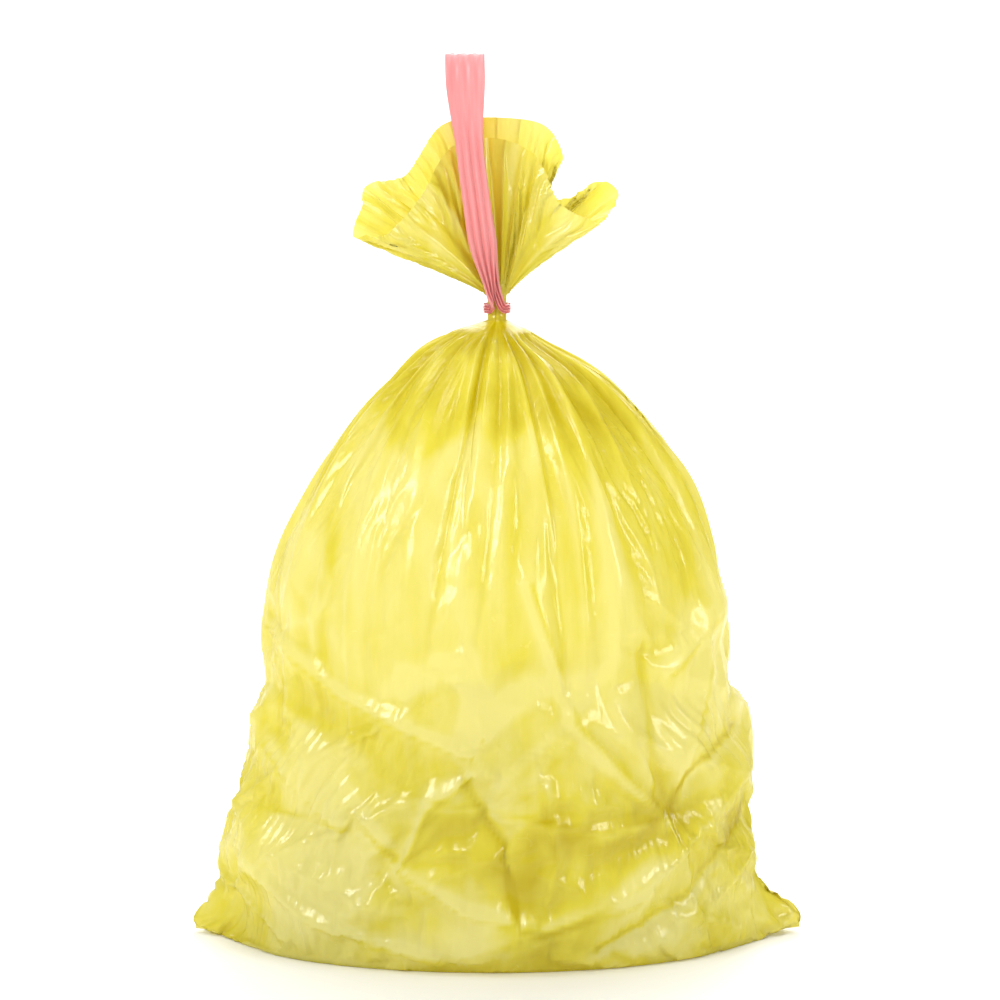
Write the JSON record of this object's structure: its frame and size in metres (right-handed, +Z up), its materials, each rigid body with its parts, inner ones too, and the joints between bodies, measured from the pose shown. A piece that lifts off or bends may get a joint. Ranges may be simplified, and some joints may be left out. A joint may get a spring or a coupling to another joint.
{
  "type": "drawstring garbage bag",
  "caption": "Filled film garbage bag standing on its base, cinched to a narrow neck by flat drawtapes pulled up into loops, with a flared frill above the neck and sealed corners below.",
  "frame": {"origin": "middle of the bag's footprint, on the floor", "axes": "+Z up, through the neck; +X to the right as the loops lean left; -Y towards the front"},
  "size_m": [0.416, 0.2472, 0.6025],
  "materials": {
    "yellow_film": "translucent blown film, glossy, creased",
    "contents": "crumpled, matt",
    "pink_tape": "satin film with lengthwise creases"
  },
  "bodies": {
    "root": {"film_bag": "yellow_film", "contents_core": "contents", "drawtape_front": "pink_tape", "drawtape_back": "pink_tape"}
  },
  "joints": []
}
